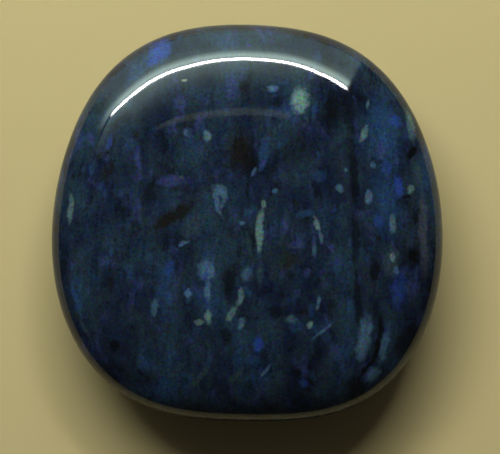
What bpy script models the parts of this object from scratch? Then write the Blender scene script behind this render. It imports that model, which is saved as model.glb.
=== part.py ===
"""A tumbled and polished dumortierite palm stone: a flat pillow with a rounded square outline.

Metres, +Z up. The stone lies on the small flat spot of its underside, at Z = 0, centred on the origin.
"""

import math

import bmesh
import bpy
from mathutils import Matrix, Vector

# Driving dimensions of the finished stone, in metres
STONE_WIDTH = 0.0400
STONE_LENGTH = 0.0410
STONE_THICKNESS = 0.0105
REST_DIAMETER = 0.0120

# Outline, each as a share of its mean radius, and how far its square is turned
SQUARENESS = 0.028
FULLER_LOW_CORNERS = 0.016
STRAIGHTER_FLANKS = 0.005
LEAN = 0.003
SQUARE_TURN = math.radians(-1.5)

# Cross-section: 2 and 2 would be an ellipse, and a higher edge power fills it out towards its edge
EDGE_POWER = 2.2
FACE_POWER = 2.0

# Cage of the soft form, and how finely it is subdivided
FACE_SEGMENTS = 16
SIDE_SEGMENTS = 5
SUBDIVISION_LEVELS = 1

# Near-black violet blue under a glassy polish
STONE_COLOUR = (0.016, 0.024, 0.045, 1.0)
STONE_ROUGHNESS = 0.08
STONE_IOR = 1.55


def clear_scene():
    for obj in list(bpy.data.objects):
        bpy.data.objects.remove(obj, do_unlink=True)


def stone_material():
    material = bpy.data.materials.new("polished_dumortierite")
    material.use_nodes = True
    shader = material.node_tree.nodes["Principled BSDF"]
    shader.inputs["Base Color"].default_value = STONE_COLOUR
    shader.inputs["Roughness"].default_value = STONE_ROUGHNESS
    shader.inputs["Metallic"].default_value = 0.0
    shader.inputs["IOR"].default_value = STONE_IOR
    return material


def outline(angle):
    """The plan radius at an angle from +X towards +Y: a rounded square with fuller corners towards -Y."""
    return (
        1.0
        - SQUARENESS * math.cos(4 * (angle - SQUARE_TURN))
        - FULLER_LOW_CORNERS * math.sin(3 * angle)
        + STRAIGHTER_FLANKS * math.cos(6 * angle)
        - LEAN * math.sin(2 * angle)
    )


def reach(outward, upward):
    """How far along a ray from the middle of the stone its surface lies, in lengths of that ray."""
    inside, outside = 0.0, 2.0
    for _ in range(40):
        middle = (inside + outside) / 2
        if (middle * outward) ** EDGE_POWER + (middle * upward) ** FACE_POWER < 1.0:
            inside = middle
        else:
            outside = middle
    return inside


def on_stone(corner):
    """The point of the stone's surface in line with a corner of the cage, which runs from -1 to 1."""
    outward = math.hypot(corner.x, corner.y) / outline(math.atan2(corner.y, corner.x))
    half_size = Vector((STONE_WIDTH, STONE_LENGTH, STONE_THICKNESS)) / 2
    return corner * half_size * reach(outward, abs(corner.z))


def level_rest(cage):
    """Flattens the underside's middle, one cage step further than the flat spot, as subdivision rounds its rim."""
    level_radius = REST_DIAMETER / 2 + STONE_WIDTH / FACE_SEGMENTS
    under = [v for v in cage.verts if v.co.z < 0 and v.co.xy.length < level_radius]
    rest_height = max(v.co.z for v in under)
    for vertex in under:
        vertex.co.z = rest_height


def is_upright(edge):
    run = edge.verts[1].co - edge.verts[0].co
    return abs(run.z) > run.xy.length


def stone_cage():
    """A cube, cut into a coarse cage whose corners lie on the stone."""
    cage = bmesh.new()
    bmesh.ops.create_cube(cage, size=2.0)
    upright = [edge for edge in cage.edges if is_upright(edge)]
    bmesh.ops.subdivide_edges(cage, edges=upright, cuts=SIDE_SEGMENTS - 1, use_grid_fill=True)
    across = [edge for edge in cage.edges if not is_upright(edge)]
    bmesh.ops.subdivide_edges(cage, edges=across, cuts=FACE_SEGMENTS - 1, use_grid_fill=True)
    for vertex in cage.verts:
        vertex.co = on_stone(vertex.co)
    level_rest(cage)
    mesh = bpy.data.meshes.new("stone")
    cage.to_mesh(mesh)
    cage.free()
    mesh.shade_smooth()
    return mesh


def fit_to_size(stone):
    """Scales and moves the cage so that the subdivided stone has its driving size and rests on Z = 0."""
    bpy.context.view_layer.update()
    rounded = stone.evaluated_get(bpy.context.evaluated_depsgraph_get())
    points = [vertex.co for vertex in rounded.to_mesh().vertices]
    low = Vector([min(point[axis] for point in points) for axis in range(3)])
    high = Vector([max(point[axis] for point in points) for axis in range(3)])
    rounded.to_mesh_clear()
    size = high - low
    middle_of_rest = Vector(((low.x + high.x) / 2, (low.y + high.y) / 2, low.z))
    wanted = (STONE_WIDTH / size.x, STONE_LENGTH / size.y, STONE_THICKNESS / size.z, 1.0)
    stone.data.transform(Matrix.Diagonal(wanted) @ Matrix.Translation(-middle_of_rest))


def make_stone(collection):
    stone = bpy.data.objects.new("stone", stone_cage())
    collection.objects.link(stone)
    stone.data.materials.append(stone_material())
    rounding = stone.modifiers.new("rounding", "SUBSURF")
    rounding.levels = SUBDIVISION_LEVELS
    rounding.render_levels = SUBDIVISION_LEVELS
    fit_to_size(stone)


def main():
    clear_scene()
    collection = bpy.data.collections.new("dumortierite_palm_stone")
    bpy.context.scene.collection.children.link(collection)
    make_stone(collection)


main()
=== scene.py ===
import math

import bmesh
import bpy
from mathutils import Matrix, Vector, noise


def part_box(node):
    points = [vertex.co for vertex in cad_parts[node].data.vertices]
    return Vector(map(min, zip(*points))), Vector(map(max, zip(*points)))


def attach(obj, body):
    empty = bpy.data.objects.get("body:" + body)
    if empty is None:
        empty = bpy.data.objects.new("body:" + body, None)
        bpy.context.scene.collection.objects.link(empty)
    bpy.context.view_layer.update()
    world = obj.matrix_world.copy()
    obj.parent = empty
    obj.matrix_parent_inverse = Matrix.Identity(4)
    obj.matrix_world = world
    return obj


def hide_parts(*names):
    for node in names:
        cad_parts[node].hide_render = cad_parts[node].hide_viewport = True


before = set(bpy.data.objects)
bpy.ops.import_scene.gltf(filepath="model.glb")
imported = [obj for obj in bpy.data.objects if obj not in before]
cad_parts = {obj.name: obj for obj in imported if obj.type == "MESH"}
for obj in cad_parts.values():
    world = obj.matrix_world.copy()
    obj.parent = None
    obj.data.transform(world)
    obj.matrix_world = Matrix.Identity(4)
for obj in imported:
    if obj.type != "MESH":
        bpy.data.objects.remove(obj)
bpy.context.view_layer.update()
millimetre = 0.001


def linearColour(hexColour):
    # sRGB hex to the linear values that shaders take
    channels = [int(hexColour[i:i + 2], 16) / 255 for i in (1, 3, 5)]
    return [c / 12.92 if c <= 0.04045 else ((c + 0.055) / 1.055) ** 2.4 for c in channels] + [1.0]


def addNode(tree, kind, links=None, **settings):
    # one node, with its settings, its socket values and its links from other nodes' sockets
    node = tree.nodes.new(kind)
    for name, value in settings.items():
        setattr(node, name, value)
    for socket, source in (links or {}).items():
        target = node.inputs[socket]
        if isinstance(source, bpy.types.NodeSocket):
            tree.links.new(source, target)
        else:
            target.default_value = source
    return node


def meshObject(name, mesh):
    # a bmesh handed over as an object of the scene, at the origin and unturned
    data = bpy.data.meshes.new(name)
    mesh.to_mesh(data)
    mesh.free()
    made = bpy.data.objects.new(name, data)
    bpy.context.scene.collection.objects.link(made)
    return made


# The stone: a tumbled pillow with a rounded square outline, fuller at its two near corners
stone = {
    "faceCells": 150,  # across each broad face
    "sideCells": 40,  # from face to face round the edge
    "squareness": 0.028,  # this and the next three are shares of the outline's mean radius
    "fullerLowCorners": 0.016,
    "straighterFlanks": 0.005,
    "lean": 0.003,
    "squareTurn": math.radians(-1.5),
    "edgePower": 2.2,  # 2 and 2 would be an ellipse, and a higher edge power fills out the edge
    "facePower": 2.0,
    "halvings": 26,  # steps of the search for the surface
    "levelRadius": 8.5 * millimetre,  # the underside is level out to here
    "waveHeight": 0.03 * millimetre,  # the polish follows slow swells that tumbling leaves
    "waveLength": 9.0 * millimetre,
    "skin": 0.02 * millimetre,  # kept inside the frame's box
}


def outline(angle):
    # the plan radius at an angle from +X towards +Y
    return (
        1.0
        - stone["squareness"] * math.cos(4 * (angle - stone["squareTurn"]))
        - stone["fullerLowCorners"] * math.sin(3 * angle)
        + stone["straighterFlanks"] * math.cos(6 * angle)
        - stone["lean"] * math.sin(2 * angle)
    )


def surfaceShare(outward, upward):
    # how far along its ray a point of the cube goes to meet the stone's surface
    inside, outside = 0.0, 2.0
    for _ in range(stone["halvings"]):
        middle = (inside + outside) / 2
        if (middle * outward) ** stone["edgePower"] + (middle * upward) ** stone["facePower"] < 1.0:
            inside = middle
        else:
            outside = middle
    return inside


def onStone(corner, half):
    outward = math.hypot(corner.x, corner.y) / outline(math.atan2(corner.y, corner.x))
    return corner * half * surfaceShare(outward, abs(corner.z))


def isUpright(edge):
    run = edge.verts[1].co - edge.verts[0].co
    return abs(run.z) > run.xy.length


def levelRest(mesh):
    # the flat spot it rests on
    under = [v for v in mesh.verts if v.co.z < 0 and v.co.xy.length < stone["levelRadius"]]
    restHeight = max(v.co.z for v in under)
    for vertex in under:
        vertex.co.z = restHeight


def fitToBox(mesh, low, high):
    # scaled and moved to fill its box but for the skin, and to rest on the box's floor
    points = [v.co for v in mesh.verts]
    least = Vector([min(p[axis] for p in points) for axis in range(3)])
    most = Vector([max(p[axis] for p in points) for axis in range(3)])
    target = (high - low) - Vector((1, 1, 1)) * 2 * stone["skin"]
    scale = [target[axis] / (most - least)[axis] for axis in range(3)]
    place = (low + high) / 2
    place.z = low.z + target.z / 2
    centred = Matrix.Translation(-(least + most) / 2)
    mesh.transform(Matrix.Translation(place) @ Matrix.Diagonal((*scale, 1)) @ centred)


def makeStone():
    low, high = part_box("stone")
    mesh = bmesh.new()
    bmesh.ops.create_cube(mesh, size=2.0)
    upright = [e for e in mesh.edges if isUpright(e)]
    bmesh.ops.subdivide_edges(mesh, edges=upright, cuts=stone["sideCells"] - 1, use_grid_fill=True)
    across = [e for e in mesh.edges if not isUpright(e)]
    bmesh.ops.subdivide_edges(mesh, edges=across, cuts=stone["faceCells"] - 1, use_grid_fill=True)
    for vertex in mesh.verts:
        vertex.co = onStone(vertex.co, (high - low) / 2)
    mesh.normal_update()
    for vertex in mesh.verts:
        swell = noise.noise(vertex.co / stone["waveLength"])
        vertex.co += vertex.normal * swell * stone["waveHeight"]
    levelRest(mesh)
    fitToBox(mesh, low, high)
    for face in mesh.faces:
        face.smooth = True

    piece = meshObject("polishedStone", mesh)
    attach(piece, "root")
    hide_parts("stone")
    print("stone:", len(piece.data.polygons), "faces")
    return piece


# The stone's colours as they look in the light, and how its grains and needles lie. Sizes are in mm
mineral = {
    "roughness": 0.04,
    "ior": 1.55,  # quartz
    "coal": "#0b0e11",  # dark mineral grains
    "umber": "#1a1814",
    "olive": "#242a24",
    "navy": "#162036",
    "slate": "#222d3a",  # the fine felt of blue needles in grey quartz
    "teal": "#26394a",
    "mist": "#35474e",
    "denim": "#284468",
    "royal": "#2b4690",
    "violet": "#3b4278",
    "steel": "#52708c",
    "pearl": "#6c8886",  # nearly clear quartz
    "mauve": "#464a58",
    # painted highlight: a lamp's glint on a tiny pit, painted into the colour
    "paintedGlint": "#a8b4ac",
    "sway": {"Scale": 0.45, "Detail": 2.0},  # a noise's scale is in turns per mm
    "swayReach": 1.0,
    "fray": {"Scale": 1.9, "Detail": 3.0, "Roughness": 0.7},
    "frayReach": 0.3,
    "crumb": {"Scale": 1.3, "Detail": 5.0, "Roughness": 0.7},
    "crumbSpan": (0.35, 0.65),
    "crumble": 0.26,  # how far in from its rim a marking is broken up, as a share of its half size
    "broadRim": 0.75,  # how much further in it has its full strength, for the broad and for the small ones
    "closeRim": 0.55,
    "rimAllowance": 1.3,  # a soft rim looks smaller than it is drawn
    "noiseSpan": (0.3, 0.7),  # most of a noise's values lie between these
    "drawnOut": (1, 0.6, 1),  # the minerals lie drawn out a little along the stone
    "bandSize": 5.5,
    "bandTints": [(0.28, "navy"), (0.5, "slate"), (0.75, "teal")],  # between coal and denim
    "topHeights": (4.6, 5.6),  # the placed markings set in between these heights
    "grainSize": 0.30,
    "grainContrast": 2.5,
    "fibreSize": (0.35, 2.4),  # across and along
    "fibreTurn": math.radians(12),
    "fibreShades": (0.82, 1.2),
}

# scattered patches: tint, seed, patches per mm, roughness, threshold, softness, strength
scattered = [
    ("teal", 1.0, 0.40, 0.50, 0.48, 0.20, 0.6),
    ("navy", 2.0, 0.50, 0.50, 0.46, 0.20, 0.7),
    ("violet", 3.0, 0.80, 0.55, 0.54, 0.18, 0.5),
    ("denim", 4.0, 0.70, 0.55, 0.54, 0.18, 0.6),
]

# more of the same kind, laid over the broad markings and under the small ones
darkGrains = ("coal", 5.0, 0.70, 0.55, 0.52, 0.18, 0.6)

# placed markings: tint, across and up from the middle, half length, half width, lean from upright to
# the right in degrees, strength. The broad soft ones come first, under the others
grounds = [
    ("umber", -0.8, 6.4, 3.0, 1.9, 5, 0.92),
    ("coal", 8.6, 10.6, 3.0, 1.9, 0, 0.85),
    ("coal", 4.6, 6.6, 2.6, 2.2, 0, 0.55),
    ("denim", 13.8, 8.6, 5.0, 2.2, 0, 0.90),
    ("denim", 14.2, 1.5, 4.5, 2.0, 0, 0.75),
    ("royal", 15.3, -7.6, 2.4, 1.0, 0, 0.50),
    ("teal", -17.4, 2.2, 4.6, 1.3, 0, 0.70),
    ("teal", -5.6, 5.6, 1.8, 2.0, 0, 0.75),
    ("teal", -13.4, -1.6, 2.6, 1.8, 20, 0.45),
    ("mist", -5.7, -1.2, 1.6, 1.2, 30, 0.55),
    ("teal", 1.8, -11.0, 3.2, 1.9, 0, 0.60),
    ("teal", -7.4, -12.0, 2.0, 1.7, 20, 0.55),
    ("denim", -8.4, -7.2, 4.0, 1.2, 5, 0.55),
    ("navy", -11.2, -3.2, 2.2, 1.5, 40, 0.65),
    ("navy", -13.0, -13.0, 3.4, 2.6, 0, 0.80),
    ("coal", -11.5, -16.0, 4.0, 1.1, 110, 0.55),
]

markings = [
    # the dark seam and the band on its right
    ("coal", 10.4, 11.0, 3.6, 0.7, 0, 0.60),
    ("coal", 10.8, 4.2, 4.0, 0.6, -3, 0.75),
    ("coal", 10.9, -2.4, 4.0, 0.5, -2, 0.60),
    ("coal", 11.1, -8.6, 3.6, 0.5, -2, 0.65),
    # slanted dark band on the left and the dark spots round it
    ("umber", -7.4, -0.2, 3.3, 0.8, 56, 0.90),
    ("umber", -6.8, 2.5, 1.5, 0.5, 80, 0.50),
    ("umber", -14.1, 4.5, 1.6, 0.7, 18, 0.70),
    ("umber", -11.4, 8.3, 0.5, 0.7, 0, 0.60),
    ("olive", -15.0, 6.2, 0.5, 0.5, 0, 0.60),
    ("umber", -13.8, -6.7, 1.0, 0.5, -10, 0.60),
    ("coal", -13.3, -13.1, 0.6, 0.6, 0, 0.90),
    # upper left shoulder
    ("royal", -9.2, 17.0, 2.1, 1.2, 38, 0.85),
    ("denim", -11.4, 14.8, 1.6, 0.9, 25, 0.60),
    ("navy", -13.2, 13.4, 1.3, 0.9, 30, 0.60),
    ("violet", -6.8, 11.5, 1.1, 0.9, 0, 0.45),
    # painted highlight: a lamp glint painted as a pale speck
    ("paintedGlint", -6.3, 14.0, 0.2, 0.4, 10, 0.55),
    ("steel", -4.1, 7.9, 0.75, 0.5, 5, 0.90),
    ("steel", -6.1, 8.3, 0.5, 0.3, 0, 0.50),
    ("royal", -14.1, 7.6, 0.9, 0.3, 12, 0.45),
    ("violet", -7.8, 3.4, 0.7, 1.4, 0, 0.50),
    ("mauve", -6.7, 3.6, 0.35, 0.25, 0, 0.70),
    ("navy", -10.6, 6.4, 0.8, 0.5, 0, 0.60),
    # upper middle
    ("violet", -1.5, 13.0, 1.7, 0.8, 5, 0.45),
    ("umber", -0.3, 12.8, 1.2, 0.6, 0, 0.50),
    ("steel", 2.6, 13.1, 0.5, 0.6, 0, 0.80),
    ("coal", 2.9, 11.6, 0.7, 1.1, 0, 0.60),
    ("pearl", 5.35, 11.6, 1.6, 0.9, 9, 1.00),
    ("denim", 6.9, 10.8, 1.1, 0.3, 5, 0.60),
    ("denim", 1.7, 6.2, 2.2, 0.6, 14, 0.70),
    ("violet", 1.4, 4.9, 0.7, 0.4, 14, 0.60),
    ("steel", 0.6, 4.3, 0.5, 0.3, 20, 0.55),
    ("steel", 2.9, 2.4, 0.4, 0.3, 0, 0.60),
    ("denim", 7.2, 4.0, 0.6, 1.0, 0, 0.50),
    # upper right
    ("royal", 15.0, 9.9, 0.8, 0.7, 0, 0.55),
    ("pearl", 11.7, 8.3, 1.2, 0.4, 22, 0.55),
    ("steel", 12.2, 11.6, 0.6, 0.2, 15, 0.60),
    ("violet", 13.5, 6.6, 1.0, 0.5, 0, 0.60),
    ("steel", 12.9, 5.1, 0.4, 0.3, 0, 0.60),
    # painted reflection: the pale line of the right edge's highlight, painted here in pearl and carried on
    # below in mist and mauve
    ("pearl", 16.6, 9.6, 1.8, 0.5, -15, 0.45),
    ("coal", 16.8, 6.8, 1.2, 0.45, 32, 1.00),
    # painted reflection: the right edge's pale highlight line, below the dark notch
    ("mist", 17.4, 4.4, 1.6, 0.6, 0, 0.70),
    ("royal", 15.3, 3.0, 1.2, 0.6, 0, 0.80),
    ("royal", 14.0, 4.8, 0.9, 0.6, 0, 0.50),
    ("steel", 12.2, 1.9, 0.8, 0.45, 0, 0.90),
    ("steel", 9.4, 2.6, 0.5, 0.5, 0, 0.60),
    ("steel", 9.9, 4.6, 0.3, 0.2, 0, 0.60),
    ("coal", 16.2, 2.1, 0.35, 0.5, 0, 0.80),
    ("pearl", 16.5, 2.9, 0.5, 0.4, 0, 0.50),
    # heart shaped patch and the middle
    ("steel", -2.9, 2.3, 0.9, 0.8, 0, 0.75),
    ("steel", -3.1, 1.0, 1.5, 0.35, -25, 0.60),
    ("steel", -2.4, 1.4, 1.4, 0.3, 15, 0.40),
    ("steel", -0.4, -0.9, 0.3, 0.35, 0, 0.70),
    ("pearl", 1.5, 1.1, 0.6, 0.4, 10, 0.60),
    ("pearl", 1.25, -1.8, 2.5, 0.4, 0, 0.75),
    ("mist", 0.2, -3.0, 1.3, 0.3, -8, 0.60),
    ("mist", 1.2, -6.4, 1.3, 0.4, 0, 0.60),
    ("steel", 0.0, -6.1, 0.9, 0.6, 0, 0.45),
    ("pearl", -0.7, -8.3, 1.1, 0.35, 15, 0.55),
    ("pearl", -1.6, -9.9, 1.0, 0.35, 35, 0.55),
    ("pearl", 6.9, -1.0, 0.9, 0.3, -20, 0.75),
    ("steel", 7.4, -2.4, 0.8, 0.25, -15, 0.55),
    ("denim", 5.8, 0.1, 0.4, 0.9, 0, 0.60),
    ("violet", 3.7, -1.3, 1.0, 0.5, 0, 0.50),
    ("violet", 5.0, -3.2, 0.45, 0.9, 0, 0.50),
    ("steel", 6.7, -3.6, 0.8, 0.35, 0, 0.45),
    ("violet", 8.4, -3.3, 0.8, 0.3, -35, 0.50),
    ("olive", 4.2, -4.8, 1.1, 1.2, 0, 0.80),
    ("coal", 4.4, -6.3, 0.5, 0.6, 0, 0.60),
    ("coal", 7.2, -6.8, 0.5, 0.4, 0, 0.60),
    ("violet", 6.1, -5.9, 0.45, 0.45, 0, 0.50),
    # left of the middle
    ("coal", -1.8, -6.9, 1.9, 0.8, 8, 0.70),
    ("steel", -6.4, -3.0, 0.7, 0.3, 55, 0.65),
    ("royal", -7.8, -5.6, 0.9, 0.6, 0, 0.50),
    ("steel", -4.2, -5.6, 1.2, 0.95, 0, 0.80),
    ("royal", -4.25, -6.05, 0.5, 0.4, 0, 0.70),
    ("steel", -3.95, -7.7, 1.2, 0.35, 0, 0.80),
    ("violet", -4.0, -8.9, 1.0, 0.25, 0, 0.55),
    ("pearl", -3.9, -10.4, 0.9, 0.4, 0, 0.75),
    ("pearl", -4.7, -10.9, 0.3, 0.5, 0, 0.60),
    ("steel", -5.9, -7.9, 0.65, 0.4, 0, 0.75),
    ("steel", -9.3, -9.6, 1.1, 0.4, 0, 0.55),
    ("denim", -17.4, -8.0, 2.1, 0.35, -16, 0.85),
    ("mist", -16.5, -11.4, 1.2, 0.3, -25, 0.60),
    ("pearl", -17.9, 1.0, 1.6, 0.35, 0, 0.50),
    # right side
    ("coal", 16.8, -3.9, 1.3, 0.75, 0, 1.00),
    # painted reflection: the lower length of the right edge's pale highlight line
    ("mauve", 17.9, -1.6, 4.6, 0.6, 0, 0.75),
    ("royal", 13.3, -0.5, 0.8, 0.6, 0, 0.55),
    ("mist", 14.5, -4.6, 2.0, 1.0, 0, 0.70),
    ("pearl", 14.7, -4.4, 0.6, 0.3, -8, 0.80),
    ("steel", 15.1, -5.6, 0.5, 0.3, 0, 0.70),
    ("pearl", 14.7, -0.8, 1.0, 0.4, 0, 0.45),
    ("coal", 12.9, -5.6, 1.5, 0.55, -4, 0.80),
    ("umber", 13.3, -2.3, 0.4, 0.35, 20, 0.70),
    # lower middle
    ("royal", 1.0, -13.1, 0.8, 0.55, 0, 0.90),
    ("denim", 0.6, -14.6, 0.6, 1.0, 0, 0.60),
    ("steel", -0.6, -11.1, 0.8, 0.45, 20, 0.75),
    ("coal", -2.3, -12.3, 1.3, 0.9, 0, 0.65),
    ("navy", -2.6, -15.8, 2.0, 1.5, 0, 0.60),
    ("coal", 3.0, -9.8, 0.9, 1.0, 0, 0.65),
    ("umber", 5.6, -9.9, 0.5, 0.6, 0, 0.70),
    ("steel", 4.4, -10.7, 0.5, 0.6, 0, 0.60),
    ("denim", 4.8, -11.4, 0.9, 0.7, 0, 0.60),
    ("pearl", 6.2, -11.3, 0.45, 0.4, 0, 0.90),
    ("steel", 7.2, -9.0, 1.0, 0.25, 15, 0.60),
    ("steel", 7.5, -11.8, 1.6, 0.22, 48, 0.50),
    ("steel", 1.8, -15.7, 1.0, 0.25, 38, 0.60),
    ("mist", -1.3, -16.3, 1.1, 0.4, 38, 0.60),
    ("mist", -4.8, -16.4, 1.7, 0.4, 42, 0.65),
    ("mist", -7.2, -15.7, 1.3, 0.4, 50, 0.55),
    ("royal", 5.7, -16.8, 0.6, 0.6, 0, 0.60),
    ("coal", 6.5, -16.6, 0.4, 0.4, 0, 0.70),
    # lower right corner: pale lenses with a black crack between them
    ("steel", 11.7, -12.3, 2.3, 0.85, 12, 0.70),
    ("steel", 13.8, -12.9, 2.3, 0.5, 12, 0.65),
    ("steel", 12.7, -15.9, 1.0, 0.6, 45, 0.70),
    ("coal", 13.45, -11.2, 1.6, 0.35, 0, 0.90),
    ("coal", 13.0, -13.5, 1.4, 0.35, 14, 1.00),
    ("coal", 12.0, -15.3, 1.4, 0.3, 42, 0.95),
    ("coal", 16.2, -12.4, 2.4, 1.2, 35, 0.70),
    ("coal", 10.8, -17.2, 1.2, 1.4, 60, 0.70),
]


def layTint(tree, colour, tint, amount, edges, strength):
    # a tint over the colour so far, from nothing at the first edge to its full strength at the second
    cover = addNode(tree, "ShaderNodeMapRange", {
        "Value": amount, "From Min": edges[0], "From Max": edges[1], "To Max": strength,
    }, interpolation_type="SMOOTHSTEP")
    laid = addNode(tree, "ShaderNodeMix", {
        0: cover.outputs[0], 6: colour, 7: linearColour(mineral[tint]),
    }, data_type="RGBA")
    return laid.outputs[2]


def addPatches(tree, place, colour, patch):
    # scattered patches of a tint wherever a noise rises over the threshold
    tint, seed, perMillimetre, roughness, threshold, softness, strength = patch
    patches = addNode(tree, "ShaderNodeTexNoise", {
        "Vector": place, "W": seed, "Scale": perMillimetre, "Detail": 3.0, "Roughness": roughness,
    }, noise_dimensions="4D")
    edges = (threshold, threshold + softness)
    return layTint(tree, colour, tint, patches.outputs["Fac"], edges, strength)


def addMarking(tree, place, colour, marking, edges):
    # one soft lens of another tint
    tint, across, up, halfLength, halfWidth, lean, strength = marking
    allowance = mineral["rimAllowance"]
    lens = addNode(tree, "ShaderNodeMapping", {
        "Vector": place,
        "Location": (across, up, 0),
        "Rotation": (0, 0, -math.radians(lean)),
        "Scale": (halfWidth * allowance, halfLength * allowance, 1),
    }, vector_type="TEXTURE")
    inside = addNode(tree, "ShaderNodeTexGradient", {"Vector": lens.outputs[0]}, gradient_type="SPHERICAL")
    return layTint(tree, colour, tint, inside.outputs["Fac"], edges, strength)


def addMarkings(tree, place, colour, layer, crumble, rim):
    # a layer of markings, each from nothing at its crumbled rim to its full strength further in
    full = addNode(tree, "ShaderNodeMath", {0: crumble, 1: rim}, operation="ADD").outputs[0]
    for marking in layer:
        colour = addMarking(tree, place, colour, marking, (crumble, full))
    return colour


def addWarp(tree, warped, place, noiseSettings, reach):
    # moves each point by up to half the reach, the way the noise at its place says
    swirl = addNode(tree, "ShaderNodeTexNoise", {"Vector": place, **noiseSettings})
    shift = addNode(tree, "ShaderNodeMapping", {
        "Vector": swirl.outputs["Color"], "Location": [-reach / 2] * 3, "Scale": [reach] * 3,
    })
    return addNode(tree, "ShaderNodeVectorMath", {0: warped, 1: shift.outputs[0]}, operation="ADD").outputs[0]


def addFelt(tree, place):
    # the felt of needles and grains, in bands from dark to blue
    band = addNode(tree, "ShaderNodeTexNoise", {
        "Vector": place, "Scale": 1 / mineral["bandSize"], "Detail": 4.0, "Roughness": 0.55,
    })
    least, most = mineral["noiseSpan"]
    tone = addNode(tree, "ShaderNodeMapRange", {
        "Value": band.outputs["Fac"], "From Min": least, "From Max": most,
    })
    felt = addNode(tree, "ShaderNodeValToRGB", {"Fac": tone.outputs[0]})
    tints = felt.color_ramp.elements
    tints[0].color, tints[1].color = linearColour(mineral["coal"]), linearColour(mineral["denim"])
    for position, tint in mineral["bandTints"]:
        tints.new(position).color = linearColour(mineral[tint])
    return felt.outputs[0]


def addGrain(tree, place, colour):
    # fine grains that tint the colour each their own way, without lightening it on the whole
    contrast = mineral["grainContrast"]
    grain = addNode(tree, "ShaderNodeTexNoise", {
        "Vector": place, "Scale": 1 / mineral["grainSize"], "Detail": 2.0, "Roughness": 0.6,
    })
    tinting = addNode(tree, "ShaderNodeMapping", {
        "Vector": grain.outputs["Color"], "Location": [1 - contrast / 2] * 3, "Scale": [contrast] * 3,
    })
    grained = addNode(tree, "ShaderNodeVectorMath", {0: colour, 1: tinting.outputs[0]}, operation="MULTIPLY")
    return grained.outputs[0]


def addFibres(tree, place, colour):
    # long fine threads, lighter and darker
    across, along = mineral["fibreSize"]
    darkest, lightest = mineral["fibreShades"]
    threads = addNode(tree, "ShaderNodeMapping", {
        "Vector": place, "Rotation": (0, 0, mineral["fibreTurn"]), "Scale": (1 / across, 1 / along, 1),
    })
    fibre = addNode(tree, "ShaderNodeTexNoise", {"Vector": threads.outputs[0], "Scale": 1.0, "Detail": 3.0})
    least, most = mineral["noiseSpan"]
    shade = addNode(tree, "ShaderNodeMapRange", {
        "Value": fibre.outputs["Fac"],
        "From Min": least,
        "From Max": most,
        "To Min": darkest,
        "To Max": lightest,
    })
    shaded = addNode(tree, "ShaderNodeVectorMath", {0: colour, 3: shade.outputs[0]}, operation="SCALE")
    return shaded.outputs[0]


def polishedDumortierite():
    # Dumortierite quartz, tumbled until it shines: blue needles and dark grains under a clear, glassy skin
    material = bpy.data.materials.new("polishedDumortierite")
    material.use_nodes = True
    tree = material.node_tree
    shader = tree.nodes["Principled BSDF"]
    shader.inputs["Roughness"].default_value = mineral["roughness"]
    shader.inputs["IOR"].default_value = mineral["ior"]

    # in mm, and bent twice: by a slow sway, and by a finer fraying that the grains give every outline
    metres = addNode(tree, "ShaderNodeTexCoord").outputs["Object"]
    scaled = addNode(tree, "ShaderNodeVectorMath", {0: metres, 3: 1 / millimetre}, operation="SCALE")
    place = scaled.outputs[0]
    swayed = addWarp(tree, place, place, mineral["sway"], mineral["swayReach"])
    frayed = addWarp(tree, swayed, place, mineral["fray"], mineral["frayReach"])
    drawn = addNode(tree, "ShaderNodeMapping", {"Vector": frayed, "Scale": mineral["drawnOut"]}).outputs[0]

    plain = addFelt(tree, drawn)
    for patch in scattered:
        plain = addPatches(tree, drawn, plain, patch)

    # the placed markings keep to the top side, so height is left out of their coordinates
    flat = addNode(tree, "ShaderNodeVectorMath", {0: frayed, 1: (1, 1, 0)}, operation="MULTIPLY").outputs[0]
    crumb = addNode(tree, "ShaderNodeTexNoise", {"Vector": place, **mineral["crumb"]})
    least, most = mineral["crumbSpan"]
    crumble = addNode(tree, "ShaderNodeMapRange", {
        "Value": crumb.outputs["Fac"], "From Min": least, "From Max": most, "To Max": mineral["crumble"],
    }).outputs[0]
    marked = addMarkings(tree, flat, plain, grounds, crumble, mineral["broadRim"])
    marked = addPatches(tree, drawn, marked, darkGrains)
    marked = addMarkings(tree, flat, marked, markings, crumble, mineral["closeRim"])
    lowest, highest = mineral["topHeights"]
    height = addNode(tree, "ShaderNodeSeparateXYZ", {0: place}).outputs[2]
    topSide = addNode(tree, "ShaderNodeMapRange", {
        "Value": height, "From Min": lowest, "From Max": highest,
    }, interpolation_type="SMOOTHSTEP")
    mixed = addNode(tree, "ShaderNodeMix", {0: topSide.outputs[0], 6: plain, 7: marked}, data_type="RGBA")

    colour = addGrain(tree, place, mixed.outputs[2])
    colour = addFibres(tree, frayed, colour)
    tree.links.new(colour, shader.inputs["Base Color"])
    print("polished dumortierite:", len(grounds) + len(markings), "markings")
    return material


# Floor and light. Each panel bends round the stone along its line, which gives its elevation at some
# bearings, in degrees, clockwise from straight behind the stone
studio = {
    "floorColour": "#dcc48e",
    "floorSize": 4.0,
    "floorRoughness": 0.9,
    "floorShine": 0.1,
    "lightDistance": 0.40,
    "panelCell": 1.5,  # degrees from one column of vertices to the next
    "skyColour": "#ffffff",
    "skyRadiance": 0.03,
}

lampLine = [(-52, 35.6), (-45, 38.2), (-38, 39.8), (-28, 40.7), (-14, 41.3), (0, 39.6), (9, 39.8),
            (20, 41.6), (32, 42.0)]
railLine = [(-44, 57.5), (-31, 60.2), (-20, 61.8), (-8, 62.3), (16, 62.1)]

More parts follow.
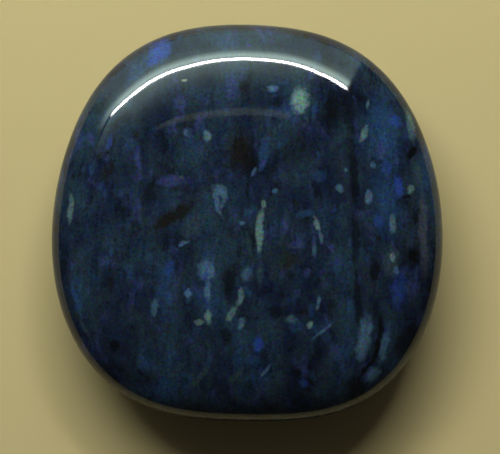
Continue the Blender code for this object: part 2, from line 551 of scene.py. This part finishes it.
# steps are heights over the line, each with a share of the radiance, and fade is how many degrees it takes
# to come up from dark at each end
panels = {
    "lamp": {  # the white line on the far shoulder
        "line": lampLine,
        "bearings": (-52, 33),
        "steps": [(-0.75, 1.0), (0.75, 1.0)],
        "fade": (3, 2),
        "colour": "#ffffff",
        "radiance": 70.0,
    },
    "reflector": {  # the paler band beyond that line, out to the rim
        "line": lampLine,
        "bearings": (-58, 33),
        "steps": [(-41, 0.03), (-36, 0.11), (-14, 0.13), (-7.5, 0.20), (-5.2, 0.50), (-3.6, 0.85),
                  (-2.0, 0.95), (-1.2, 0.35), (-0.8, 0.35)],
        "fade": (14, 1),
        "colour": "#e0fff2",
        "radiance": 9.0,
    },
    "glow": {  # the haze on the near side of the line
        "line": lampLine,
        "bearings": (-62, 24),
        "steps": [(0.8, 0.45), (2.2, 0.26), (4.5, 0.20), (7.5, 0.13), (10, 0.07), (14, 0.02), (19, 0.0)],
        "fade": (18, 26),
        "colour": "#e0fff2",
        "radiance": 9.0,
    },
    "rail": {  # the faint line across the upper middle
        "line": railLine,
        "bearings": (-42, 16),
        "steps": [(-1.1, 0.4), (-0.7, 1.0), (0.7, 1.0), (1.1, 0.4)],
        "fade": (5, 3),
        "colour": "#e8f4d8",
        "radiance": 0.5,
    },
}


def panelLight(name, colour, radiance):
    # a glowing panel, as bright at each vertex as the level written there
    material = bpy.data.materials.new(name)
    material.use_nodes = True
    tree = material.node_tree
    tree.nodes.clear()
    level = addNode(tree, "ShaderNodeAttribute", attribute_name="level")
    strength = addNode(tree, "ShaderNodeMath", {0: level.outputs["Fac"], 1: radiance}, operation="MULTIPLY")
    glow = addNode(tree, "ShaderNodeEmission", {
        "Color": linearColour(colour), "Strength": strength.outputs[0],
    })
    addNode(tree, "ShaderNodeOutputMaterial", {"Surface": glow.outputs[0]})
    return material


def heightAlong(line, bearing):
    # the line's elevation at a bearing, straight from one of its points to the next
    for (fromBearing, fromHeight), (toBearing, toHeight) in zip(line, line[1:]):
        if bearing <= toBearing:
            break
    share = (bearing - fromBearing) / (toBearing - fromBearing)
    return fromHeight + (toHeight - fromHeight) * min(max(share, 0), 1)


def towards(bearing, elevation, distance):
    # the point that lies that way from the origin
    bearing, elevation = math.radians(bearing), math.radians(elevation)
    level = distance * math.cos(elevation)
    return Vector((level * math.sin(bearing), level * math.cos(bearing), distance * math.sin(elevation)))


def addPanel(name, panel):
    # a flat grid bent round the stone, with a row of vertices at each step's height
    first, last = panel["bearings"]
    fadeIn, fadeOut = panel["fade"]
    columns = round((last - first) / studio["panelCell"])
    rows = len(panel["steps"]) - 1
    mesh = bmesh.new()
    bmesh.ops.create_grid(mesh, x_segments=columns, y_segments=rows, size=1.0)
    levels = mesh.verts.layers.float.new("level")
    for vertex in mesh.verts:
        column = round((vertex.co.x + 1) / 2 * columns)
        height, level = panel["steps"][round((vertex.co.y + 1) / 2 * rows)]
        bearing = first + (last - first) * column / columns
        vertex[levels] = level * min((bearing - first) / fadeIn, (last - bearing) / fadeOut, 1)
        vertex.co = towards(bearing, heightAlong(panel["line"], bearing) + height, studio["lightDistance"])
    made = meshObject(name, mesh)
    made.data.materials.append(panelLight(name, panel["colour"], panel["radiance"]))
    made.visible_camera = False


def makeFloor():
    mesh = bmesh.new()
    bmesh.ops.create_grid(mesh, x_segments=1, y_segments=1, size=studio["floorSize"] / 2)
    floor = meshObject("floor", mesh)
    material = bpy.data.materials.new("mattePaper")  # soft and even, without a shine
    material.use_nodes = True
    shader = material.node_tree.nodes["Principled BSDF"]
    shader.inputs["Base Color"].default_value = linearColour(studio["floorColour"])
    shader.inputs["Roughness"].default_value = studio["floorRoughness"]
    shader.inputs["Specular IOR Level"].default_value = studio["floorShine"]
    floor.data.materials.append(material)


def makeStudio():
    makeFloor()
    for name, panel in panels.items():
        addPanel(name, panel)
    world = bpy.data.worlds.new("room")
    bpy.context.scene.world = world
    world.use_nodes = True
    sky = world.node_tree.nodes["Background"]
    sky.inputs["Color"].default_value = linearColour(studio["skyColour"])
    sky.inputs["Strength"].default_value = studio["skyRadiance"]
    bpy.context.scene.view_settings.view_transform = "Standard"
    print("studio: floor and", len(panels), "panels")


camera = {
    "elevation": math.radians(82),
    "distance": 0.300,
    "frameWidth": 51.1 * millimetre,  # what the picture spans at the stone's middle
    "sensorWidth": 36.0,
    "clip": (0.01, 10.0),
    "centrePixel": (247.2, 220.9),  # where the middle of the stone's widest line shows
    "imageSize": (500, 454),
}


def placeCamera():
    data = bpy.data.cameras.new("camera")
    view = bpy.data.objects.new("camera", data)
    bpy.context.scene.collection.objects.link(view)
    back = Vector((0, -math.cos(camera["elevation"]), math.sin(camera["elevation"])))  # from stone to camera
    low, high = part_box("stone")
    data.sensor_width = camera["sensorWidth"]
    data.lens = camera["sensorWidth"] * camera["distance"] / camera["frameWidth"]
    wide, tall = camera["imageSize"]
    data.shift_x = (wide / 2 - camera["centrePixel"][0]) / wide
    data.shift_y = (camera["centrePixel"][1] - tall / 2) / wide
    view.location = (low + high) / 2 + back * camera["distance"]
    view.rotation_mode = "QUATERNION"
    view.rotation_quaternion = (-back).to_track_quat("-Z", "Y")
    data.clip_start, data.clip_end = camera["clip"]
    bpy.context.scene.camera = view
    print("camera:", round(data.lens), "mm lens")


placeCamera()
piece = makeStone()
piece.data.materials.append(polishedDumortierite())
makeStudio()
